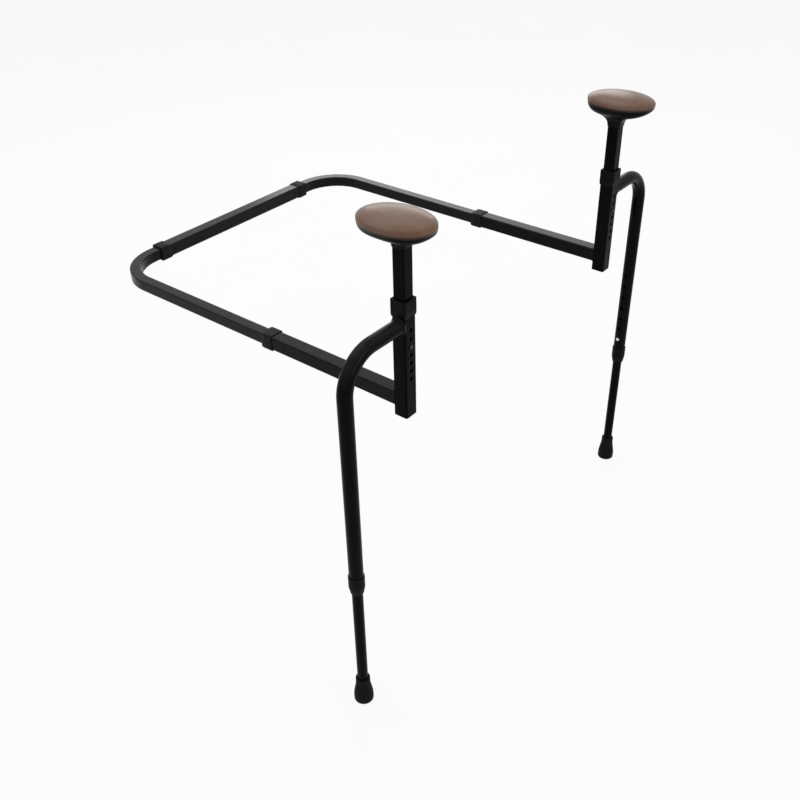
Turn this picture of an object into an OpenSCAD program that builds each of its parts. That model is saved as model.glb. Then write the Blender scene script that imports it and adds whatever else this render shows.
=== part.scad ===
// Couch standing aid: a sliding square-tube frame that lies under a couch's cushion, with a handle on a post
// and a telescopic leg on each side. Front is -Y, the floor is at zero, and the right side mirrors the left.

/* [Frame] */
// Distance between the axes of the two posts
post_spacing = 600; // [580:5:700]
// Distance from the posts' axes back to the rear tube's axis
frame_depth = 695; // [670:5:800]
// Height of the frame tubes' axes above the floor
frame_h = 567; // [550:1:620]
// Distance from a post's axis back to the end of its side sleeve
side_sleeve_l = 271; // [260:1:300]
// Bend radius of the corner tubes on their axis
bend_r = 85; // [70:1:100]
// Gap between a corner tube's bend and the rear collar beside it
bend_gap = 12; // [4:1:20]

/* [Square tubes] */
// Outer width of the sleeves and posts
tube_w = 25; // [25:0.5:27]
// Wall of the square tubes
tube_wall = 1.2; // [1:0.1:1.3]
// Outer edge radius of the sleeves and posts
tube_r = 3; // [2.6:0.1:3.4]
// Outer edge radius of the sliding square tubes
inner_r = 2.2; // [1.8:0.1:2.6]
// Wall that a collar's bush takes up between two tubes
bush_wall = 0.6; // [0.5:0.05:0.8]
// Gap around a tube that slides in a bush
slide_gap = 0.3; // [0.2:0.05:0.4]
// Gap around a piece that is pressed into a tube
fit_gap = 0.05; // [0.02:0.01:0.1]

/* [Collars] */
// Outer width of the square collars
collar_w = 28.5; // [28:0.5:31]
// Edge radius of the square collars
collar_r = 3.5; // [3:0.1:4.5]
// Length of the rear and side collars outside their sleeves
collar_l = 25; // [20:1:30]
// Length of the post collars above the posts
post_collar_l = 28; // [22:1:32]
// Length of the sloped end of a square collar
collar_taper_l = 9; // [5:0.5:12]
// Depth of the slope at that end
collar_taper = 1.75; // [1:0.05:1.75]
// Edge cut at the blunt end of a square collar
collar_edge = 1; // [0.5:0.1:2]
// Length of the rear and side collars' bushes inside the sleeves
frame_bush_l = 4; // [3:0.5:4.5]
// Length of the post collars' bushes inside the posts
post_bush_l = 16; // [12:1:17]
// Diameter of the knobs that keep the rear and side collars in their sleeves
knob_d = 7; // [6:0.5:8]
// Height of a knob's tip above its sleeve
knob_out = 1; // [0.5:0.1:1.5]
// Width of the tongue that carries a knob
tongue_w = 12; // [10:0.5:14]
// Distance of a rear collar's knob from the sleeve's end
rear_knob_edge = 9; // [8:0.5:12]
// Distance of a side collar's knob from the sleeve's end
side_knob_edge = 28; // [20:1:36]

/* [Posts and stems] */
// Reach of a post below the frame tubes' axes
post_drop = 29; // [24:1:40]
// Reach of a post above the frame tubes' axes
post_rise = 142; // [135:1:160]
// Height of the plug in a post's lower end
post_plug_h = 12; // [8:1:14]
// Length of a stem seen between collar and handle
stem_seen = 80; // [65:1:110]
// Height of the insert in a stem's upper end
insert_h = 20; // [14:1:24]
// Shank diameter of the handle screw
screw_d = 6; // [4:0.5:7]
// Head diameter of the handle screw
screw_head_d = 11; // [9:0.5:13]
// Head height of the handle screw
screw_head_h = 4; // [3:0.5:5]
// Length of the handle screw inside the handle
screw_bite = 18; // [12:1:20]

/* [Handles] */
// Length of a handle from front to back
pad_l = 123; // [105:1:135]
// Width of a handle from side to side
pad_w = 89; // [84:1:104]
// Distance of a handle's middle outward of its stem
pad_out = 11; // [0:1:14]
// Height of the pad's crown above its widest line
pad_crown = 12; // [7:0.5:16]
// Height of the pad's skirt between its widest line and the lower shell
skirt_h = 6; // [4:0.5:8]
// Height of the lower shell with its neck
base_h = 35; // [30:1:42]
// Width of the neck's lower end
neck_w = 24.4; // [22:0.2:28]

/* [Legs] */
// Distance of a leg's axis outward of its post's axis
leg_out = 132; // [120:1:150]
// Distance of the leg tube's weld below the top of the post
leg_below_top = 14; // [14:1:22]
// Outer diameter of the leg tubes
leg_d = 24; // [23:0.5:25]
// Wall of the leg tubes
leg_wall = 1.5; // [1.2:0.1:1.6]
// Bend radius of the leg tubes on their axis
leg_bend_r = 60; // [50:1:80]
// Height of a leg tube's lower end above the floor
leg_end_h = 298; // [280:1:330]
// Wall that the leg collar's bush takes up
leg_bush_wall = 1; // [0.8:0.1:1.2]
// Length of the leg collar's bush inside the leg tube
leg_bush_l = 15; // [10:1:17]
// Length of a leg collar below the leg tube
leg_collar_l = 36; // [30:1:40]
// Outer diameter of the leg collars
leg_collar_d = 27; // [26:0.5:30]
// Length of the sloped lower end of a leg collar
leg_taper_l = 13; // [8:1:18]
// Wall of a leg collar at its lower end
leg_tip_wall = 1.6; // [1.2:0.1:2]
// Wall of the leg extensions
ext_wall = 1.2; // [1:0.1:1.4]

/* [Feet] */
// Height of the feet
foot_h = 55; // [48:1:65]
// Largest diameter of the feet
foot_d = 34; // [32:0.5:42]
// Diameter of the feet at their upper end
foot_top_d = 25; // [24:0.5:28]
// Thickness of the foot below the washer
foot_sole = 9; // [7:0.5:12]
// Edge radius around the sole and the upper end
foot_edge = 2.5; // [1.5:0.1:2.6]
// Thickness of the washer under the extension
washer_t = 1.6; // [1.2:0.1:2]
// Width of the round grooves in the sole
tread_w = 2; // [1.5:0.1:2.4]
// Depth of the round grooves in the sole
tread_depth = 1.5; // [1:0.1:2]

/* [Snap buttons] */
// Diameter of the snap buttons
button_d = 7; // [6:0.5:7.5]
// Gap between a button and its holes
button_gap = 0.35; // [0.25:0.05:0.4]
// Height of a button's tip above the outer tube
button_out = 2.5; // [1.5:0.1:3]
// Radius of a button's domed tip
button_dome_r = 5; // [4.5:0.5:9]
// Diameter of the flange that keeps a button in its tube
flange_d = 9.4; // [9:0.2:10]
// Thickness of that flange
flange_t = 1; // [0.8:0.1:1.3]
// Length of an inner tube past its button
button_tail = 36; // [30:1:38]
// Width of the spring strips
spring_w = 8; // [6:0.5:8.5]
// Thickness of the spring strips
spring_t = 0.8; // [0.6:0.1:1]
// Length of a spring from its button to its bend
spring_l = 24; // [18:1:27]
// Distance of the outermost width hole from the sleeve's end
width_edge = 9; // [9:1:12]
// Distance between the width holes
width_pitch = 15; // [13:0.5:15]
// Distance of the rearmost depth hole from the sleeve's end
depth_edge = 28; // [20:1:36]
// Distance between the depth holes
depth_pitch = 15; // [13:0.5:20]
// Distance of the highest handle hole from the post's top
handle_edge = 21.5; // [21.5:0.5:28]
// Distance between the handle holes
handle_pitch = 13.75; // [12:0.25:14]
// Distance of the lowest leg hole from the leg tube's end
leg_edge = 23; // [22:1:30]
// Distance between the leg holes
leg_pitch = 25; // [20:0.5:28]

/* [Welds] */
// Size of the weld beads
bead = 2.5; // [1.5:0.1:3]

/* [Hidden] */
$fn = 48;
// Overrun of every cut past the faces it opens
over = 1;
// Holes in each row, and those above the one that the handle button rests in
hole_n = 7;
holes_above = 2;
// Positions of posts and rear tube that put the middle of the whole aid at zero
post_x = post_spacing / 2;
rear_sleeve_l = post_spacing - 2 * (bend_r + bend_gap + collar_l);
rear_reach = max(collar_w / 2, tube_w / 2 + button_out);
post_y = -(frame_depth + rear_reach - pad_l / 2) / 2;
rear_y = post_y + frame_depth;
// Square sliding tubes, their bushes and what is pressed into the tubes
inner_w = tube_w - 2 * (tube_wall + bush_wall + slide_gap);
bore_w = inner_w + 2 * slide_gap;
bore_r = inner_r + slide_gap;
bush_w = tube_w - 2 * (tube_wall + fit_gap);
bush_r = tube_r - tube_wall - fit_gap;
insert_w = inner_w - 2 * (tube_wall + fit_gap);
insert_r = inner_r - tube_wall - fit_gap;
// Heights of post, stem and handle
post_bottom_h = frame_h - post_drop;
post_top_h = frame_h + post_rise;
stem_top_h = post_top_h + post_collar_l + stem_seen;
handle_hole_h = post_top_h - handle_edge - holes_above * handle_pitch;
stem_end_h = handle_hole_h - button_tail;
part_h = stem_top_h + base_h;
// Leg, extension and foot
leg_x = -post_x - leg_out;
leg_weld_h = post_top_h - leg_below_top;
leg_hole_h = leg_end_h + leg_edge;
ext_d = leg_d - 2 * (leg_wall + leg_bush_wall + slide_gap);
ext_bore_r = ext_d / 2 - ext_wall;
ext_end_h = foot_sole + washer_t;
leg_bore_r = ext_d / 2 + slide_gap;
foot_bore_d = ext_d + 2 * fit_gap;
// Where the buttons of the frame rest
width_hole_x = rear_sleeve_l / 2 - width_edge - (hole_n - 1) * width_pitch;
depth_hole_y = side_sleeve_l - depth_edge;
hole_d = button_d + 2 * button_gap;
// Heights of the button flange above the axis in a square and in a round tube
square_flange_h = inner_w / 2 - tube_wall - slide_gap;
round_flange_h = sqrt(pow(ext_bore_r, 2) - pow(flange_d / 2, 2)) - slide_gap;
// Depths of the spring's back leaf below the axis in a square and in a round tube
square_back_h = inner_w / 2 - tube_wall - slide_gap;
round_back_h = sqrt(pow(ext_bore_r, 2) - pow(spring_w / 2, 2)) - slide_gap;
// Points around a handle, rings up its pad's crown and skirt and down its shell, points along the foot's side
around_n = 48;
pad_n = 9;
skirt_n = 2;
base_n = 14;
foot_n = 14;
arc_n = 6;
// Powers that shape the oval rim, the squarish neck and the crown
oval_power = 2;
neck_power = 5;
crown_power = 2.4;
// Control points of the shell's side, as shares of the way from neck to widest line and of its height
base_shares = [[0.98, 0], [0.84, 0.54], [0.01, 0.26], [0, 1]];
// Shares of the foot's height where its bell shape starts and ends
bell_shares = [0.16, 0.86];
// Radii of the two grooves in the sole as shares of the foot's radius
tread_shares = [0.34, 0.62];
// Colours
steel_color = [0.07, 0.07, 0.08];
plastic_color = [0.05, 0.05, 0.05];
rubber_color = [0.04, 0.04, 0.04];
bright_color = [0.75, 0.75, 0.77];
pad_color = [0.42, 0.33, 0.28];

// Point of an oval with half sizes a and b at angle t, squarer with a higher power
function oval(a, b, power, t) = [
    a * sign(cos(t)) * pow(abs(cos(t)), 2 / power),
    b * sign(sin(t)) * pow(abs(sin(t)), 2 / power)
];

// Point at angle t of a handle's outline, at a share of the way from its neck to its widest line
function shell_point(share, t) =
    let (
        half_x = (neck_w + (pad_w - neck_w) * share) / 2,
        half_y = (neck_w + (pad_l - neck_w) * share) / 2,
        power = neck_power + (oval_power - neck_power) * share,
        p = oval(half_x, half_y, power, t)
    )
    [p[0] - pad_out * share, p[1]];

// Point of a curve with four control points
function curve(c, t) =
    pow(1 - t, 3) * c[0] + 3 * t * pow(1 - t, 2) * c[1] + 3 * t * t * (1 - t) * c[2] + pow(t, 3) * c[3];

// Value from a to b with a soft start and end
function ease(a, b, t) = a + (b - a) * t * t * (3 - 2 * t);

// Share of the way from first to last, kept between zero and one
function way(first, last, t) = min(1, max(0, (t - first) / (last - first)));

// Points of an arc about c
function arc(c, r, from, to) = [
    for (i = [0:arc_n])
        let (t = from + (to - from) * i / arc_n)
        c + r * [cos(t), sin(t)]
];

// The right side is the left side seen in a mirror
module right() {
    mirror([1, 0, 0]) children();
}

// Square outline with rounded corners
module rounded_square(w, r) {
    square([w, w - 2 * r], center = true);
    square([w - 2 * r, w], center = true);
    for (x = [-1, 1], y = [-1, 1]) {
        translate([x * (w / 2 - r), y * (w / 2 - r)]) circle(r);
    }
}

// Solid square bar of length l up the Z axis
module bar(w, r, l) {
    linear_extrude(l) rounded_square(w, r);
}

// Square tube of length l up the Z axis
module square_tube(w, r, l) {
    difference() {
        bar(w, r, l);
        translate([0, 0, -over]) bar(w - 2 * tube_wall, r - tube_wall, l + 2 * over);
    }
}

// Turns the Z axis to point along the rear tube
module along_x() {
    rotate([0, 90, 0]) children();
}

// Turns the Z axis to point backwards
module along_y() {
    rotate([-90, 0, 0]) children();
}

// Side view of a square collar, sloped at its lower end
module collar_wedge(l) {
    half = collar_w / 2;
    rotate([90, 0, 0]) linear_extrude(collar_w + 2 * over, center = true) polygon([
        [-half + collar_taper, 0],
        [half - collar_taper, 0],
        [half, collar_taper_l],
        [half, l - collar_edge],
        [half - collar_edge, l],
        [-half + collar_edge, l],
        [-half, l - collar_edge],
        [-half, collar_taper_l]
    ]);
}

// Outside of a square collar of length l up the Z axis
module collar_body(l) {
    intersection() {
        bar(collar_w, collar_r, l);
        collar_wedge(l);
        rotate([0, 0, 90]) collar_wedge(l);
    }
}

// Square collar whose sleeve ends at zero; the slope faces the sleeve, or the sliding tube if turned
module square_collar(l, bush_l, turned) {
    difference() {
        union() {
            if (turned) {
                translate([0, 0, l]) mirror([0, 0, 1]) collar_body(l);
            } else {
                collar_body(l);
            }
            translate([0, 0, -bush_l]) bar(bush_w, bush_r, bush_l + l - collar_edge);
        }
        translate([0, 0, -bush_l - over]) bar(bore_w, bore_r, bush_l + l + 2 * over);
    }
}

// Places the knob of a left collar: Z points out of the sleeve, X along it towards the sleeve's end
module at_rear_knob() {
    translate([rear_knob_edge - rear_sleeve_l / 2, rear_y, frame_h]) rotate([0, 180, 0]) rotate([90, 0, 0])
        children();
}

module at_side_knob() {
    knob_y = post_y + side_sleeve_l - side_knob_edge;
    translate([-post_x, knob_y, frame_h]) rotate([-90, 0, 0]) rotate([0, -90, 0]) children();
}

// Places a snap button of the left side: Z points out of the tube, X along it towards the spring's bend
module at_width() {
    translate([-width_hole_x, rear_y, frame_h]) rotate([0, 180, 0]) rotate([-90, 0, 0]) children();
}

module at_depth() {
    translate([-post_x, post_y + depth_hole_y, frame_h]) rotate([0, 0, 90]) rotate([180, 0, 0]) children();
}

module at_handle() {
    translate([-post_x, post_y, handle_hole_h]) rotate([0, 0, 90]) rotate([0, -90, 0]) children();
}

module at_leg() {
    translate([leg_x, post_y, leg_hole_h]) rotate([0, 90, 0]) children();
}

// Cuts one button hole, or a row of them from the first place on, each a step further
module button_hole() {
    cylinder(h = tube_w / 2 + over, d = hole_d);
}

module hole_row(first, step) {
    for (i = [0:hole_n - 1]) {
        translate([first + i * step, 0, 0]) button_hole();
    }
}

// Round pin of height h with a domed tip
module domed_pin(d, h) {
    cap_h = button_dome_r - sqrt(pow(button_dome_r, 2) - pow(d / 2, 2));
    cylinder(h = h - cap_h, d = d);
    intersection() {
        translate([0, 0, h - cap_h - over]) cylinder(h = cap_h + 2 * over, d = d);
        translate([0, 0, h - button_dome_r]) sphere(button_dome_r);
    }
}

// Snap button whose flange ends at height flange_h and whose tip stands out of a tube of half width reach
module snap_button(flange_h, reach) {
    color(bright_color) translate([0, 0, flange_h - flange_t]) union() {
        cylinder(h = flange_t, d = flange_d);
        domed_pin(button_d, reach + button_out - flange_h + flange_t);
    }
}

// Knob on the tongue of a collar's bush, at distance edge from the sleeve's end
module collar_knob(edge) {
    translate([0, 0, bore_w / 2]) domed_pin(knob_d, (tube_w - bore_w) / 2 + knob_out);
    translate([-knob_d, -tongue_w / 2, bore_w / 2]) cube([knob_d + edge, tongue_w, (bush_w - bore_w) / 2]);
}

// Hole of the sleeve that such a knob fills
module knob_hole() {
    cylinder(h = tube_w / 2 + over, d = knob_d + 2 * fit_gap);
}

// Hairpin spring under a button, from its front leaf at the flange to its back leaf on the tube's far wall
module snap_spring(flange_h, back_h) {
    front = flange_h - flange_t;
    ring_r = (front + back_h) / 2;
    mid = (front - back_h) / 2;
    color(bright_color) rotate([90, 0, 0]) linear_extrude(spring_w, center = true) union() {
        translate([-flange_d / 2, front - spring_t]) square([flange_d / 2 + spring_l, spring_t]);
        translate([0, -back_h]) square([spring_l, spring_t]);
        intersection() {
            translate([spring_l, mid]) difference() {
                circle(ring_r);
                circle(ring_r - spring_t);
            }
            translate([spring_l, mid - ring_r - over]) square([ring_r + over, 2 * (ring_r + over)]);
        }
    }
}

// Path of a corner tube of width w; its straight ends run past by extra
module corner_path(w, r, extra) {
    front_y = post_y + depth_hole_y - button_tail;
    arm_l = rear_y - bend_r - front_y;
    cross_l = post_x - bend_r - width_hole_x + button_tail;
    translate([-post_x, front_y - extra, frame_h]) along_y() bar(w, r, arm_l + extra);
    translate([-post_x + bend_r, rear_y, frame_h]) along_x() bar(w, r, cross_l + extra);
    translate([-post_x + bend_r, rear_y - bend_r, frame_h]) rotate([0, 0, 90])
        rotate_extrude(angle = 90) translate([bend_r, 0]) rounded_square(w, r);
}

// Path of a leg tube of diameter d, from the post's axis to its lower end, which runs past by extra
module leg_path(d, extra) {
    run_l = leg_out - leg_bend_r;
    drop_l = leg_weld_h - leg_bend_r - leg_end_h;
    translate([-post_x - run_l, post_y, leg_weld_h]) along_x() cylinder(h = run_l, d = d);
    translate([leg_x, post_y, leg_end_h - extra]) cylinder(h = drop_l + extra, d = d);
    translate([-post_x - run_l, post_y, leg_weld_h - leg_bend_r]) rotate([90, 0, 0]) rotate([0, 0, 90])
        rotate_extrude(angle = 90) translate([leg_bend_r, 0]) circle(d / 2);
}

// Solid block of the left post's outside, for the tubes that are cut to meet it
module post_block() {
    translate([-post_x, post_y, post_bottom_h]) bar(tube_w, tube_r, post_drop + post_rise);
}

// Closed side faces between rings of points, seen from outside; rings run upwards or downwards
function ring_faces(n, up) = [
    for (k = [0:n - 1], i = [0:around_n - 1], half = [0, 1])
        let (
            j = (i + 1) % around_n,
            a = k * around_n + i,
            b = k * around_n + j,
            c = (k + 1) * around_n + j,
            d = (k + 1) * around_n + i
        )
        up ? (half == 0 ? [d, c, b] : [d, b, a]) : (half == 0 ? [a, b, c] : [a, c, d])
];

module rear_sleeve() {
    color(steel_color) difference() {
        translate([-rear_sleeve_l / 2, rear_y, frame_h]) along_x() square_tube(tube_w, tube_r, rear_sleeve_l);
        at_width() hole_row(0, width_pitch);
        right() at_width() hole_row(0, width_pitch);
        at_rear_knob() knob_hole();
        right() at_rear_knob() knob_hole();
    }
}

module rear_collar() {
    color(plastic_color) union() {
        translate([-rear_sleeve_l / 2, rear_y, frame_h]) mirror([1, 0, 0]) along_x()
            square_collar(collar_l, frame_bush_l, false);
        at_rear_knob() collar_knob(rear_knob_edge);
    }
}

module corner_tube() {
    color(steel_color) difference() {
        corner_path(inner_w, inner_r, 0);
        corner_path(inner_w - 2 * tube_wall, inner_r - tube_wall, over);
        at_width() button_hole();
        at_depth() button_hole();
    }
}

module width_spring() {
    at_width() snap_spring(square_flange_h, square_back_h);
}

module depth_spring() {
    at_depth() snap_spring(square_flange_h, square_back_h);
}

module side_sleeve() {
    color(steel_color) difference() {
        translate([-post_x, post_y, frame_h]) along_y() square_tube(tube_w, tube_r, side_sleeve_l);
        post_block();
        at_depth() hole_row(0, -depth_pitch);
        at_side_knob() knob_hole();
    }
}

module side_collar() {
    color(plastic_color) union() {
        translate([-post_x, post_y + side_sleeve_l, frame_h]) along_y()
            square_collar(collar_l, frame_bush_l, true);
        at_side_knob() collar_knob(side_knob_edge);
    }
}

module post() {
    color(steel_color) difference() {
        translate([-post_x, post_y, post_bottom_h]) square_tube(tube_w, tube_r, post_drop + post_rise);
        at_handle() hole_row(holes_above * handle_pitch, -handle_pitch);
    }
}

// Beads above and below the side sleeve where it meets the post
module sleeve_weld() {
    flat = tube_w - 2 * tube_r;
    color(steel_color) translate([-post_x, post_y + tube_w / 2, frame_h]) rotate([90, 0, 90])
        linear_extrude(flat, center = true) for (side = [-1, 1]) {
            polygon([[0, side * tube_w / 2], [bead, side * tube_w / 2], [0, side * (tube_w / 2 + bead)]]);
        }
}

module post_plug() {
    color(plastic_color) translate([-post_x, post_y, post_bottom_h]) bar(bush_w, bush_r, post_plug_h);
}

module post_collar() {
    color(plastic_color) translate([-post_x, post_y, post_top_h])
        square_collar(post_collar_l, post_bush_l, false);
}

module leg_tube() {
    color(steel_color) difference() {
        leg_path(leg_d, 0);
        leg_path(leg_d - 2 * leg_wall, over);
        post_block();
        at_leg() hole_row(0, -leg_pitch);
    }
}

// Bead around the leg tube where it meets the post, no wider than the post
module leg_weld() {
    in_r = leg_d / 2;
    color(steel_color) difference() {
        intersection() {
            translate([-post_x - tube_w / 2, post_y, leg_weld_h]) mirror([1, 0, 0]) along_x() rotate_extrude()
                polygon([[in_r, -tube_r], [in_r + bead, -tube_r], [in_r + bead, 0], [in_r, bead]]);
            translate([-post_x - tube_w, post_y - tube_w / 2, post_bottom_h])
                cube([tube_w, tube_w, post_drop + post_rise]);
        }
        post_block();
    }
}

module leg_collar() {
    tip_r = leg_bore_r + leg_tip_wall;
    out_r = leg_collar_d / 2;
    in_r = leg_d / 2 - leg_wall - fit_gap;
    color(plastic_color) translate([leg_x, post_y, leg_end_h]) rotate_extrude() polygon([
        [leg_bore_r, -leg_collar_l],
        [tip_r, -leg_collar_l],
        [out_r, leg_taper_l - leg_collar_l],
        [out_r, -collar_edge],
        [out_r - collar_edge, 0],
        [in_r, 0],
        [in_r, leg_bush_l],
        [leg_bore_r, leg_bush_l]
    ]);
}

module stem() {
    color(steel_color) difference() {
        translate([-post_x, post_y, stem_end_h]) square_tube(inner_w, inner_r, stem_top_h - stem_end_h);
        at_handle() button_hole();
    }
}

module handle_spring() {
    at_handle() snap_spring(square_flange_h, square_back_h);
}

module stem_insert() {
    color(plastic_color) translate([-post_x, post_y, stem_top_h - insert_h]) difference() {
        bar(insert_w, insert_r, insert_h);
        translate([0, 0, -over]) cylinder(h = insert_h + 2 * over, d = screw_d + 2 * fit_gap);
    }
}

module handle_screw() {
    color(bright_color) translate([-post_x, post_y, stem_top_h - insert_h - screw_head_h]) union() {
        cylinder(h = screw_head_h, d = screw_head_d);
        cylinder(h = screw_head_h + insert_h + screw_bite, d = screw_d);
    }
}

// Lower shell of a handle, from the oval rim down to the squarish neck
module handle_base() {
    points = [
        for (k = [0:base_n], i = [0:around_n - 1])
            let (at = curve(base_shares, k / base_n))
            concat(shell_point(at[0], 360 * i / around_n), [-base_h * at[1]])
    ];
    rim = [for (i = [1:around_n]) around_n - i];
    foot = [for (i = [0:around_n - 1]) base_n * around_n + i];
    color(plastic_color) translate([-post_x, post_y, part_h]) difference() {
        polyhedron(points, concat([rim, foot], ring_faces(base_n, false)));
        translate([0, 0, -base_h - over]) cylinder(h = screw_bite + 2 * over, d = screw_d + 2 * fit_gap);
    }
}

// Palm rest of a handle: a skirt that curves in to the shell's rim, and a crown above it
module handle_pad() {
    points = concat(
        [
            for (k = [0:skirt_n - 1], i = [0:around_n - 1])
                let (in_share = (1 - base_shares[0][0]) * pow(1 - k / skirt_n, 2))
                concat(shell_point(1 - in_share, 360 * i / around_n), [skirt_h * k / skirt_n])
        ],
        [
            for (k = [0:pad_n - 1], i = [0:around_n - 1])
                let (
                    rise = 90 * k / pad_n,
                    ring_share = pow(cos(rise), 2 / crown_power),
                    p = oval(pad_w * ring_share / 2, pad_l * ring_share / 2, oval_power, 360 * i / around_n)
                )
                [p[0] - pad_out, p[1], skirt_h + pad_crown * sin(rise)]
        ],
        [[-pad_out, 0, skirt_h + pad_crown]]
    );
    ring_n = skirt_n + pad_n;
    apex = ring_n * around_n;
    last = apex - around_n;
    rim = [for (i = [0:around_n - 1]) i];
    top = [for (i = [0:around_n - 1]) [apex, last + (i + 1) % around_n, last + i]];
    color(pad_color) translate([-post_x, post_y, part_h])
        polyhedron(points, concat([rim], ring_faces(ring_n - 1, true), top));
}

module leg_extension() {
    color(steel_color) difference() {
        translate([leg_x, post_y, ext_end_h]) cylinder(h = leg_hole_h + button_tail - ext_end_h, d = ext_d);
        translate([leg_x, post_y, ext_end_h - over])
            cylinder(h = leg_hole_h + button_tail - ext_end_h + 2 * over, r = ext_bore_r);
        at_leg() button_hole();
    }
}

module leg_spring() {
    at_leg() snap_spring(round_flange_h, round_back_h);
}

// Rubber foot: a bell with a rounded sole and top, a blind bore and grooves in the sole
module foot() {
    low_r = foot_d / 2;
    top_r = foot_top_d / 2;
    side = [
        for (i = [1:foot_n - 1])
            let (
                t = i / foot_n,
                r = ease(low_r, top_r, way(bell_shares[0], bell_shares[1], t))
            )
            [r, foot_edge + (foot_h - 2 * foot_edge) * t]
    ];
    color(rubber_color) translate([leg_x, post_y, 0]) difference() {
        rotate_extrude() polygon(concat(
            [[0, 0]],
            arc([low_r - foot_edge, foot_edge], foot_edge, -90, 0),
            side,
            arc([top_r - foot_edge, foot_h - foot_edge], foot_edge, 0, 90),
            [[0, foot_h]]
        ));
        translate([0, 0, foot_sole]) cylinder(h = foot_h, d = foot_bore_d);
        for (share = tread_shares) {
            rotate_extrude() translate([low_r * share, -over]) square([tread_w, tread_depth + over]);
        }
    }
}

module foot_washer() {
    color(bright_color) translate([leg_x, post_y, foot_sole]) cylinder(h = washer_t, d = ext_d);
}

module width_button() {
    at_width() snap_button(square_flange_h, tube_w / 2);
}

module depth_button() {
    at_depth() snap_button(square_flange_h, tube_w / 2);
}

module handle_button() {
    at_handle() snap_button(square_flange_h, tube_w / 2);
}

module leg_button() {
    at_leg() snap_button(round_flange_h, leg_d / 2);
}

rear_sleeve();
rear_collar();  // rear_collar_left
right() rear_collar();  // rear_collar_right
corner_tube();  // corner_tube_left
right() corner_tube();  // corner_tube_right
width_spring();  // width_spring_left
right() width_spring();  // width_spring_right
depth_spring();  // depth_spring_left
right() depth_spring();  // depth_spring_right
side_sleeve();  // side_sleeve_left
right() side_sleeve();  // side_sleeve_right
side_collar();  // side_collar_left
right() side_collar();  // side_collar_right
post();  // post_left
right() post();  // post_right
sleeve_weld();  // sleeve_weld_left
right() sleeve_weld();  // sleeve_weld_right
post_plug();  // post_plug_left
right() post_plug();  // post_plug_right
post_collar();  // post_collar_left
right() post_collar();  // post_collar_right
leg_tube();  // leg_tube_left
right() leg_tube();  // leg_tube_right
leg_weld();  // leg_weld_left
right() leg_weld();  // leg_weld_right
leg_collar();  // leg_collar_left
right() leg_collar();  // leg_collar_right
stem();  // stem_left
right() stem();  // stem_right
handle_spring();  // handle_spring_left
right() handle_spring();  // handle_spring_right
stem_insert();  // stem_insert_left
right() stem_insert();  // stem_insert_right
handle_screw();  // handle_screw_left
right() handle_screw();  // handle_screw_right
handle_base();  // handle_base_left
right() handle_base();  // handle_base_right
handle_pad();  // handle_pad_left
right() handle_pad();  // handle_pad_right
leg_extension();  // leg_extension_left
right() leg_extension();  // leg_extension_right
leg_spring();  // leg_spring_left
right() leg_spring();  // leg_spring_right
foot();  // foot_left
right() foot();  // foot_right
foot_washer();  // foot_washer_left
right() foot_washer();  // foot_washer_right
width_button();  // width_button_left
right() width_button();  // width_button_right
depth_button();  // depth_button_left
right() depth_button();  // depth_button_right
handle_button();  // handle_button_left
right() handle_button();  // handle_button_right
leg_button();  // leg_button_left
right() leg_button();  // leg_button_right
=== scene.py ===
import math

import bmesh
import bpy
from mathutils import Matrix, Quaternion, Vector


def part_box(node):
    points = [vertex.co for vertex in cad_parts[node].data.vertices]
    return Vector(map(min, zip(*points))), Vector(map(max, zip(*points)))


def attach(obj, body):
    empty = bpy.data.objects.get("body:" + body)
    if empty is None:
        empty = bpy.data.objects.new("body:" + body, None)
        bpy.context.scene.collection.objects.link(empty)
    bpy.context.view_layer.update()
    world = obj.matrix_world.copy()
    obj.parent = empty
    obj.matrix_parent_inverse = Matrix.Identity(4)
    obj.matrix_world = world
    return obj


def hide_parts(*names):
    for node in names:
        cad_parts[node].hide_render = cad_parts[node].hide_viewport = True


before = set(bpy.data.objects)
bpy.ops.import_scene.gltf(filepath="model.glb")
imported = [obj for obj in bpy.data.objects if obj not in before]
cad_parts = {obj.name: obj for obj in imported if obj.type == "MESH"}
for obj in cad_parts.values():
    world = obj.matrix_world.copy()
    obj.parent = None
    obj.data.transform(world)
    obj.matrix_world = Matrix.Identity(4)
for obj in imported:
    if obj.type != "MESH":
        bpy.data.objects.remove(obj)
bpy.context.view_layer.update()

scene = bpy.context.scene

# Forms of the handles that no box gives, as in the part's source, with lengths in metres
SKIRT_H = 0.006
NECK_W = 0.0244
# Control points of the shell's side, as shares of the way from neck to widest line and of its height
BASE_CURVE = ((0.98, 0.0), (0.84, 0.54), (0.01, 0.26), (0.0, 1.0))
# Powers of the superellipses of widest line, neck and crown: 2 is an ellipse, more is squarer
OVAL_POWER, NECK_POWER, CROWN_POWER = 2.0, 5.0, 2.4
# Points around a handle, and rings along its shell, its skirt and its crown
AROUND, SHELL_RINGS, SKIRT_RINGS, CROWN_RINGS = 144, 56, 8, 36

# Sizes in metres, from the right side of the CAD model
stem_low, stem_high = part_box("stem_right")
pad_low, pad_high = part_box("handle_pad_right")
shell_low, shell_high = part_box("handle_base_right")
POST_X = (stem_low.x + stem_high.x) / 2
POST_Y = (stem_low.y + stem_high.y) / 2
PAD_W = pad_high.x - pad_low.x
PAD_L = pad_high.y - pad_low.y
PAD_OUT = (pad_low.x + pad_high.x) / 2 - POST_X
PART_Z = pad_low.z
PAD_CROWN = pad_high.z - pad_low.z - SKIRT_H
BASE_H = shell_high.z - shell_low.z

# Range in which most values of a noise texture lie
NOISE_LOW, NOISE_HIGH = 0.3, 0.7
# Upward share of a face's normal at which the painted light on top faces begins, and at which it covers the
# face
TOP_LIGHT_BEGINS, TOP_LIGHT_COVERS = 0.2, 0.95
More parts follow.
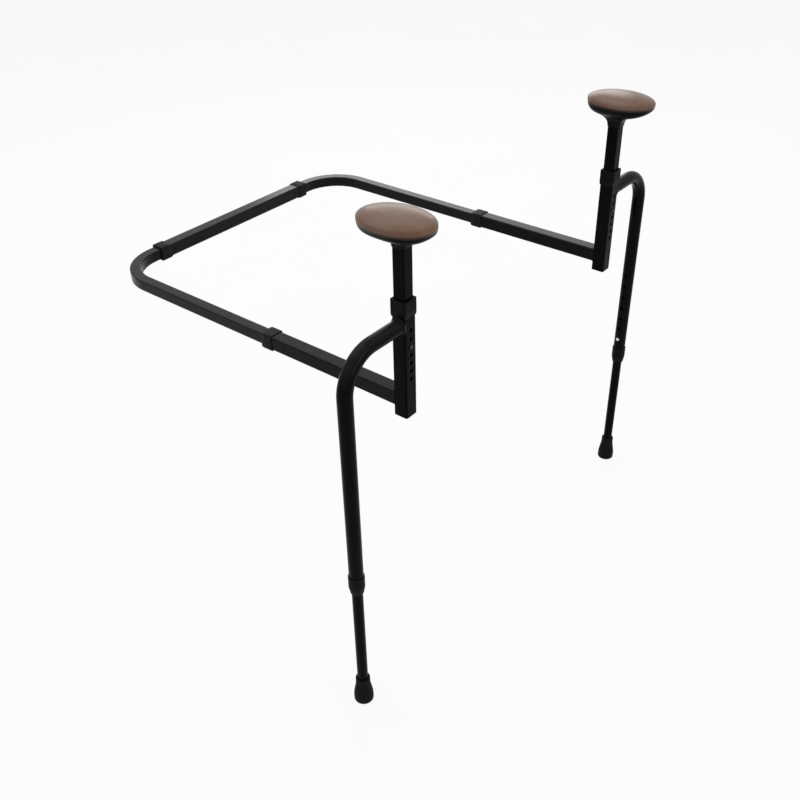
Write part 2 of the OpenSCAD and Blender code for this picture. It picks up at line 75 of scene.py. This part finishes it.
# Shares of the pad's skirt between which its dark edge gives way to brown
BROWN_BEGINS, BROWN_COVERS = 0.2, 0.9
BEVEL_SAMPLES = 8
WHITE = (1.0, 1.0, 1.0, 1.0)


def grey(value):
    return (value, value, value)


COAT_DARK, COAT_LIGHT = grey(0.0018), (0.0030, 0.0030, 0.0034)
# Colours of the painted light on top faces of the powder coat, varied by the rub noise
TOP_LIGHT_DIM, TOP_LIGHT_BRIGHT = (0.0135, 0.0135, 0.0150), (0.0200, 0.0200, 0.0230)
RUBBER_DARK, RUBBER_DUSTY = grey(0.004), (0.010, 0.009, 0.008)
BROWN_DARK, BROWN_MIDDLE, BROWN_PALE = (0.140, 0.074, 0.046), (0.158, 0.090, 0.058), (0.168, 0.108, 0.076)
EDGE_DARK, EDGE_PALE = (0.016, 0.010, 0.008), (0.026, 0.017, 0.013)
FLOOR_DARK, FLOOR_LIGHT = grey(0.80), grey(0.84)


# Materials

def new_material(name):
    """A material with a plain Principled shader: (material, node maker, linker, shader)."""
    mat = bpy.data.materials.new(name)
    mat.use_nodes = True
    tree = mat.node_tree
    return mat, tree.nodes.new, tree.links.new, tree.nodes["Principled BSDF"]


def set_values(node, **values):
    """Sets a node's input sockets by name, with spaces written as underscores."""
    for key, value in values.items():
        node.inputs[key.replace("_", " ")].default_value = value


def object_coords(add):
    return add("ShaderNodeTexCoord").outputs["Object"]


def noise(add, link, coords, scale, detail, rough=0.55):
    tex = add("ShaderNodeTexNoise")
    set_values(tex, Scale=scale, Detail=detail, Roughness=rough)
    link(coords, tex.inputs["Vector"])
    return tex.outputs["Fac"]


def ramp(add, link, fac, *stops):
    """Colour ramp with stops of (position, colour)."""
    node = add("ShaderNodeValToRGB")
    elements = node.color_ramp.elements
    while len(elements) < len(stops):
        elements.new(0.5)
    for element, (place, colour) in zip(elements, stops):
        element.position = place
        element.color = (*colour, 1.0)
    link(fac, node.inputs["Fac"])
    return node.outputs["Color"]


def two_tones(add, link, fac, dark, light):
    return ramp(add, link, fac, (NOISE_LOW, dark), (NOISE_HIGH, light))


def mapped(add, link, value, **limits):
    """Map Range node on a value, with limits From_Min, From_Max, To_Min, To_Max: 0 to 1 where not given."""
    node = add("ShaderNodeMapRange")
    set_values(node, **limits)
    link(value, node.inputs["Value"])
    return node


def spread(add, link, fac, low, high):
    """Noise spread over the range from low to high."""
    limits = {"From_Min": NOISE_LOW, "From_Max": NOISE_HIGH, "To_Min": low, "To_Max": high}
    return mapped(add, link, fac, **limits).outputs["Result"]


def bump(add, link, height, strength, distance, normal=None):
    node = add("ShaderNodeBump")
    set_values(node, Strength=strength, Distance=distance)
    link(height, node.inputs["Height"])
    if normal is not None:
        link(normal, node.inputs["Normal"])
    return node.outputs["Normal"]


def soft_edges(add, radius):
    node = add("ShaderNodeBevel")
    node.samples = BEVEL_SAMPLES
    set_values(node, Radius=radius)
    return node.outputs["Normal"]


def height_of(add, link, vector):
    split = add("ShaderNodeSeparateXYZ")
    link(vector, split.inputs["Vector"])
    return split.outputs["Z"]


def painted_top_light(add, link):
    """Mask of the painted light on top faces: 1 on faces that look up, 0 on sides and undersides, in the
    piece's own frame.
    """
    rise = height_of(add, link, add("ShaderNodeTexCoord").outputs["Normal"])
    return mapped(add, link, rise, From_Min=TOP_LIGHT_BEGINS, From_Max=TOP_LIGHT_COVERS).outputs["Result"]


def mixed(add, link, fac, low, high):
    node = add("ShaderNodeMix")
    node.data_type = "RGBA"
    link(fac, node.inputs["Factor"])
    link(low, node.inputs["A"])
    link(high, node.inputs["B"])
    return node.outputs["Result"]


def powder_coat(name, rough, edge, specular):
    """Semi-gloss black powder coat: orange peel, slow changes of tone, rub marks, and painted light that
    makes faces which look up paler.
    """
    mat, add, link, shader = new_material(name)
    co = object_coords(add)
    cloud = noise(add, link, co, scale=14.0, detail=5.0)
    rub = noise(add, link, co, scale=90.0, detail=6.0, rough=0.65)
    peel = noise(add, link, co, scale=750.0, detail=2.0)
    coat = two_tones(add, link, cloud, COAT_DARK, COAT_LIGHT)
    lighter_tone = two_tones(add, link, rub, TOP_LIGHT_DIM, TOP_LIGHT_BRIGHT)
    # Faces that look up take the paler colour: painted light on top faces
    link(mixed(add, link, painted_top_light(add, link), coat, lighter_tone), shader.inputs["Base Color"])
    link(spread(add, link, rub, *rough), shader.inputs["Roughness"])
    normal = bump(add, link, peel, strength=0.08, distance=0.0002, normal=soft_edges(add, edge))
    link(normal, shader.inputs["Normal"])
    set_values(shader, Specular_IOR_Level=specular)
    return mat


def moulded_plastic(name, dark, light, rough, grain, grain_scale, edge, specular):
    """Black moulded plastic with a fine spark-eroded grain."""
    mat, add, link, shader = new_material(name)
    co = object_coords(add)
    cloud = noise(add, link, co, scale=30.0, detail=4.0)
    pits = noise(add, link, co, scale=grain_scale, detail=3.0, rough=0.6)
    link(two_tones(add, link, cloud, dark, light), shader.inputs["Base Color"])
    link(spread(add, link, pits, *rough), shader.inputs["Roughness"])
    normal = bump(add, link, pits, strength=grain, distance=0.00025, normal=soft_edges(add, edge))
    link(normal, shader.inputs["Normal"])
    set_values(shader, Specular_IOR_Level=specular)
    return mat


def rubber(name):
    """Matte black rubber, a little paler and dustier where it is worn."""
    mat, add, link, shader = new_material(name)
    co = object_coords(add)
    lighter_tone = noise(add, link, co, scale=55.0, detail=6.0, rough=0.7)
    grain = noise(add, link, co, scale=1300.0, detail=3.0, rough=0.7)
    link(ramp(add, link, lighter_tone, (0.35, RUBBER_DARK), (0.75, RUBBER_DUSTY)), shader.inputs["Base Color"])
    link(spread(add, link, lighter_tone, low=0.55, high=0.8), shader.inputs["Roughness"])
    normal = bump(add, link, grain, strength=0.3, distance=0.0003, normal=soft_edges(add, radius=0.0008))
    link(normal, shader.inputs["Normal"])
    set_values(shader, Specular_IOR_Level=0.06)
    return mat


def bright_steel(name, dark, light, rough):
    """Plated steel with fine scratches."""
    mat, add, link, shader = new_material(name)
    co = object_coords(add)
    stretch = add("ShaderNodeMapping")
    set_values(stretch, Scale=(4.0, 1.0, 0.3))
    link(co, stretch.inputs["Vector"])
    lines = noise(add, link, stretch.outputs["Vector"], scale=900.0, detail=4.0, rough=0.7)
    cloud = noise(add, link, co, scale=120.0, detail=3.0)
    link(two_tones(add, link, cloud, dark, light), shader.inputs["Base Color"])
    link(spread(add, link, lines, *rough), shader.inputs["Roughness"])
    link(bump(add, link, lines, strength=0.12, distance=0.0001), shader.inputs["Normal"])
    set_values(shader, Metallic=1.0)
    return mat


def glossy_brown(name):
    """Glossy taupe-brown moulding, dark at its lower edge, with slow changes of tone and a faint ripple."""
    mat, add, link, shader = new_material(name)
    co = object_coords(add)
    cloud = noise(add, link, co, scale=22.0, detail=4.0)
    fleck = noise(add, link, co, scale=420.0, detail=5.0, rough=0.7)
    ripple = noise(add, link, co, scale=60.0, detail=2.0)
    tone = ramp(add, link, cloud, (0.32, BROWN_DARK), (0.52, BROWN_MIDDLE), (0.72, BROWN_PALE))
    edge = ramp(add, link, fleck, (0.35, EDGE_DARK), (0.65, EDGE_PALE))
    above_edge = mapped(add, link, height_of(add, link, co),
                        From_Min=PART_Z + BROWN_BEGINS * SKIRT_H, From_Max=PART_Z + BROWN_COVERS * SKIRT_H)
    above_edge.interpolation_type = "SMOOTHSTEP"
    link(mixed(add, link, above_edge.outputs["Result"], edge, tone), shader.inputs["Base Color"])
    link(spread(add, link, fleck, low=0.26, high=0.30), shader.inputs["Roughness"])
    link(bump(add, link, ripple, strength=0.10, distance=0.0006), shader.inputs["Normal"])
    set_values(shader, Specular_IOR_Level=0.13)
    return mat


rear_coat = powder_coat("rear_sleeve_coat", rough=(0.19, 0.24), edge=0.0015, specular=0.130)
frame_coat = powder_coat("frame_coat", rough=(0.19, 0.24), edge=0.0015, specular=0.070)
corner_coat = powder_coat("corner_tube_coat", rough=(0.18, 0.24), edge=0.0030, specular=0.110)
upright_coat = powder_coat("upright_coat", rough=(0.18, 0.28), edge=0.0015, specular=0.028)
leg_coat = powder_coat("leg_coat", rough=(0.08, 0.14), edge=0.0015, specular=0.038)
slide_coat = powder_coat("sliding_tube_coat", rough=(0.18, 0.28), edge=0.0030, specular=0.028)
weld_coat = powder_coat("weld_bead_coat", rough=(0.24, 0.36), edge=0.0010, specular=0.050)

COLLAR_FINISH = {"rough": (0.42, 0.58), "grain": 0.22, "grain_scale": 1600.0, "edge": 0.0008}
collar_black = moulded_plastic(
    "collar_plastic", dark=grey(0.0045), light=(0.0070, 0.0078, 0.0075), specular=0.08, **COLLAR_FINISH)
# A darker, less glossy copy of the collar plastic for the post and leg collars: painted shade
upright_collar_black = moulded_plastic(
    "upright_collar_plastic", dark=grey(0.0026), light=(0.0040, 0.0042, 0.0041), specular=0.05,
    **COLLAR_FINISH)
inner_black = moulded_plastic(
    "inner_plastic", dark=grey(0.008), light=grey(0.013), rough=(0.5, 0.65), grain=0.2, grain_scale=1500.0,
    edge=0.0005, specular=0.2)
base_black = moulded_plastic(
    "handle_base_plastic", dark=grey(0.0024), light=(0.0038, 0.0038, 0.0037), rough=(0.30, 0.42), grain=0.10,
    grain_scale=1800.0, edge=0.0004, specular=0.05)
foot_black = rubber("foot_rubber")
pad_brown = glossy_brown("handle_pad_brown")
plated = bright_steel("plated_steel", dark=(0.5, 0.5, 0.51), light=(0.66, 0.66, 0.67), rough=(0.16, 0.34))
dull_plated = bright_steel(
    "dull_plated_steel", dark=(0.035, 0.035, 0.038), light=(0.060, 0.060, 0.064), rough=(0.36, 0.50))

# The nodes that aren't named here are plated: leg buttons, springs, screws and washers
LOOKS = {
    "rear_sleeve": rear_coat, "corner_tube": corner_coat, "side_sleeve": frame_coat, "post": upright_coat,
    "leg_tube": leg_coat, "stem": slide_coat, "leg_extension": slide_coat,
    "sleeve_weld": weld_coat, "leg_weld": weld_coat,
    "rear_collar": collar_black, "side_collar": collar_black,
    "post_collar": upright_collar_black, "leg_collar": upright_collar_black,
    "post_plug": inner_black, "stem_insert": inner_black,
    "handle_base": base_black, "handle_pad": pad_brown, "foot": foot_black,
    "width_button": dull_plated, "depth_button": dull_plated, "handle_button": dull_plated,
}
for name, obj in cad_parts.items():
    kind = name.removesuffix("_left").removesuffix("_right")
    obj.data.materials.clear()
    obj.data.materials.append(LOOKS.get(kind, plated))


# Handles: the same forms as the CAD solids, on a fine smooth mesh

def oval(half_x, half_y, power, t):
    """Point of a superellipse at angle t."""
    c, s = math.cos(t), math.sin(t)
    return math.copysign(half_x * abs(c) ** (2 / power), c), math.copysign(half_y * abs(s) ** (2 / power), s)


def bezier(points, t):
    """Point of a cubic Bezier curve in the plane, from its four control points."""
    weights = ((1 - t) ** 3, 3 * t * (1 - t) ** 2, 3 * t * t * (1 - t), t ** 3)
    return tuple(sum(w * p[i] for w, p in zip(weights, points)) for i in (0, 1))


def loft(name, rings, material, apex=None):
    """Closed smooth mesh through rings of points, with flat end caps, or an apex in place of the last."""
    bm = bmesh.new()
    loops = [[bm.verts.new(p) for p in ring] for ring in rings]
    count = len(loops[0])
    for low, high in zip(loops, loops[1:]):
        for i in range(count):
            j = (i + 1) % count
            bm.faces.new((low[i], low[j], high[j], high[i]))
    caps = [bm.faces.new(loops[0][::-1])]
    if apex is None:
        caps.append(bm.faces.new(loops[-1]))
    else:
        top = bm.verts.new(apex)
        for i in range(count):
            bm.faces.new((loops[-1][i], loops[-1][(i + 1) % count], top))
    for face in bm.faces:
        face.smooth = face not in caps
    bmesh.ops.recalc_face_normals(bm, faces=bm.faces)
    mesh = bpy.data.meshes.new(name)
    bm.to_mesh(mesh)
    bm.free()
    mesh.materials.append(material)
    obj = bpy.data.objects.new(name, mesh)
    scene.collection.objects.link(obj)
    return obj


def shell_point(share, t):
    """Point of a handle's outline at angle t, at a share of the way from its neck to its widest line."""
    half_x = (NECK_W + (PAD_W - NECK_W) * share) / 2
    half_y = (NECK_W + (PAD_L - NECK_W) * share) / 2
    x, y = oval(half_x, half_y, NECK_POWER + (OVAL_POWER - NECK_POWER) * share, t)
    return x + PAD_OUT * share, y


def on_side(out, points):
    """Points measured from a handle's post and parting line, set in place: out is -1 left, 1 right."""
    return [(out * (POST_X + x), POST_Y + y, PART_Z + z) for x, y, z in points]


angles = [2 * math.pi * i / AROUND for i in range(AROUND)]
shell_rings, pad_rings = [], []
for k in range(SHELL_RINGS + 1):
    share, drop = bezier(BASE_CURVE, k / SHELL_RINGS)
    shell_rings.append([(*shell_point(share, t), -BASE_H * drop) for t in angles])
for k in range(SKIRT_RINGS):
    share = 1.0 - (1.0 - BASE_CURVE[0][0]) * (1.0 - k / SKIRT_RINGS) ** 2
    pad_rings.append([(*shell_point(share, t), SKIRT_H * k / SKIRT_RINGS) for t in angles])
for k in range(CROWN_RINGS):
    rise = 0.5 * math.pi * k / CROWN_RINGS
    share = math.cos(rise) ** (2 / CROWN_POWER)
    ring = [oval(PAD_W * share / 2, PAD_L * share / 2, OVAL_POWER, t) for t in angles]
    pad_rings.append([(x + PAD_OUT, y, SKIRT_H + PAD_CROWN * math.sin(rise)) for x, y in ring])
crown = (PAD_OUT, 0.0, SKIRT_H + PAD_CROWN)

for side, out in (("left", -1.0), ("right", 1.0)):
    shell = loft("handle_shell_" + side, [on_side(out, ring) for ring in shell_rings], base_black)
    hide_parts("handle_base_" + side)
    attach(shell, side + "_handle")
    pad = loft("palm_rest_" + side, [on_side(out, ring) for ring in pad_rings], pad_brown,
               apex=on_side(out, [crown])[0])
    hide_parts("handle_pad_" + side)
    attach(pad, side + "_handle")


# Floor, light and camera

FLOOR_SIZE = 40.0
# Share of plain white in the floor that the camera and reflections see. The rest keeps the shadow
FLOOR_WHITE = 0.88
SKY_COLOUR, SKY_STRENGTH = (0.95, 0.97, 1.0, 1.0), 0.62

# The photo's camera, fitted to the tubes: focal length and picture width in pixels, angles in radians
FOCAL_PX, IMAGE_PX, SENSOR_MM = 952.0, 800.0, 36.0
CAMERA_PLACE = (-1.2150, -0.7471 + POST_Y, 1.3800)
YAW, PITCH, ROLL = 0.8792, 0.6058, -0.02513
CLIP_END = 100.0


def seen_rays(add, link):
    """1 for rays of the camera, of reflections and of transmission, else 0."""
    path = add("ShaderNodeLightPath")
    result = path.outputs["Is Camera Ray"]
    for kind in ("Is Glossy Ray", "Is Transmission Ray"):
        either = add("ShaderNodeMath")
        either.operation = "MAXIMUM"
        link(result, either.inputs[0])
        link(path.outputs[kind], either.inputs[1])
        result = either.outputs[0]
    return result


def mixed_shaders(add, link, fac, low, high, surface):
    """Mixes two shaders into the output's surface socket."""
    mix = add("ShaderNodeMixShader")
    link(fac, mix.inputs[0])
    link(low, mix.inputs[1])
    link(high, mix.inputs[2])
    link(mix.outputs[0], surface)


def floor_material():
    """Pale floor: for the camera and in reflections it is nearly white and keeps a soft shadow."""
    mat, add, link, shader = new_material("pale_floor")
    cloud = noise(add, link, object_coords(add), scale=2.5, detail=3.0)
    link(two_tones(add, link, cloud, FLOOR_DARK, FLOOR_LIGHT), shader.inputs["Base Color"])
    set_values(shader, Roughness=0.9, Specular_IOR_Level=0.0)
    glow = add("ShaderNodeEmission")
    set_values(glow, Color=WHITE, Strength=1.0)
    share = add("ShaderNodeMath")
    share.operation = "MULTIPLY"
    link(seen_rays(add, link), share.inputs[0])
    share.inputs[1].default_value = FLOOR_WHITE
    surface = mat.node_tree.nodes["Material Output"].inputs["Surface"]
    mixed_shaders(add, link, share.outputs[0], shader.outputs[0], glow.outputs[0], surface)
    return mat


def studio_world():
    """Soft even light on the object, and plain white for the camera and in reflections."""
    world = bpy.data.worlds.new("studio")
    world.use_nodes = True
    tree = world.node_tree
    add, link = tree.nodes.new, tree.links.new
    light = tree.nodes["Background"]
    set_values(light, Color=SKY_COLOUR, Strength=SKY_STRENGTH)
    white = add("ShaderNodeBackground")
    set_values(white, Color=WHITE, Strength=1.0)
    surface = tree.nodes["World Output"].inputs["Surface"]
    mixed_shaders(add, link, seen_rays(add, link), light.outputs[0], white.outputs[0], surface)
    return world


def area_light(name, place, target, size, power, colour, slant=0.0):
    """Rectangular lamp that faces its target, its long side turned by slant from level."""
    data = bpy.data.lights.new(name, "AREA")
    data.shape = "RECTANGLE"
    data.size, data.size_y = size
    data.energy = power
    data.color = colour
    obj = bpy.data.objects.new(name, data)
    obj.location = place
    facing = (Vector(target) - Vector(place)).to_track_quat("-Z", "Y")
    obj.rotation_euler = (facing @ Quaternion((0.0, 0.0, 1.0), slant)).to_euler()
    scene.collection.objects.link(obj)


def photo_camera():
    """Camera at the photo's place and angle."""
    data = bpy.data.cameras.new("camera")
    data.sensor_fit = "HORIZONTAL"
    data.sensor_width = SENSOR_MM
    data.lens = FOCAL_PX / IMAGE_PX * SENSOR_MM
    data.clip_end = CLIP_END
    ahead = Vector((math.sin(YAW) * math.cos(PITCH), math.cos(YAW) * math.cos(PITCH), -math.sin(PITCH)))
    level = Vector((math.cos(YAW), -math.sin(YAW), 0.0))
    upright = level.cross(ahead)
    right = math.cos(ROLL) * level + math.sin(ROLL) * upright
    up = -math.sin(ROLL) * level + math.cos(ROLL) * upright
    turn = Matrix((right, up, -ahead)).transposed().to_4x4()
    camera = bpy.data.objects.new("camera", data)
    camera.matrix_world = Matrix.Translation(CAMERA_PLACE) @ turn
    scene.collection.objects.link(camera)
    return camera


bpy.ops.mesh.primitive_plane_add(size=FLOOR_SIZE, location=(0.0, 0.0, 0.0))
floor = bpy.context.object
floor.name = "floor"
floor.data.materials.append(floor_material())

scene.world = studio_world()
area_light("overhead", place=(0.3, 0.9, 3.2), target=(0.0, 0.0, 0.5), size=(3.0, 2.4), power=42.0,
           colour=(1.0, 0.98, 0.95))
area_light("window", place=(2.40, 1.60, 1.65), target=(0.0, 0.0, 0.6), size=(1.8, 0.7), power=12.0,
           colour=(1.0, 0.97, 0.93))
area_light("front_strip", place=(-0.19, -2.60, 1.41), target=(-0.19, 0.0, 1.41), size=(1.70, 0.42),
           power=11.0, colour=(1.0, 1.0, 1.0), slant=0.62)
scene.camera = photo_camera()

scene.view_settings.view_transform = "Standard"
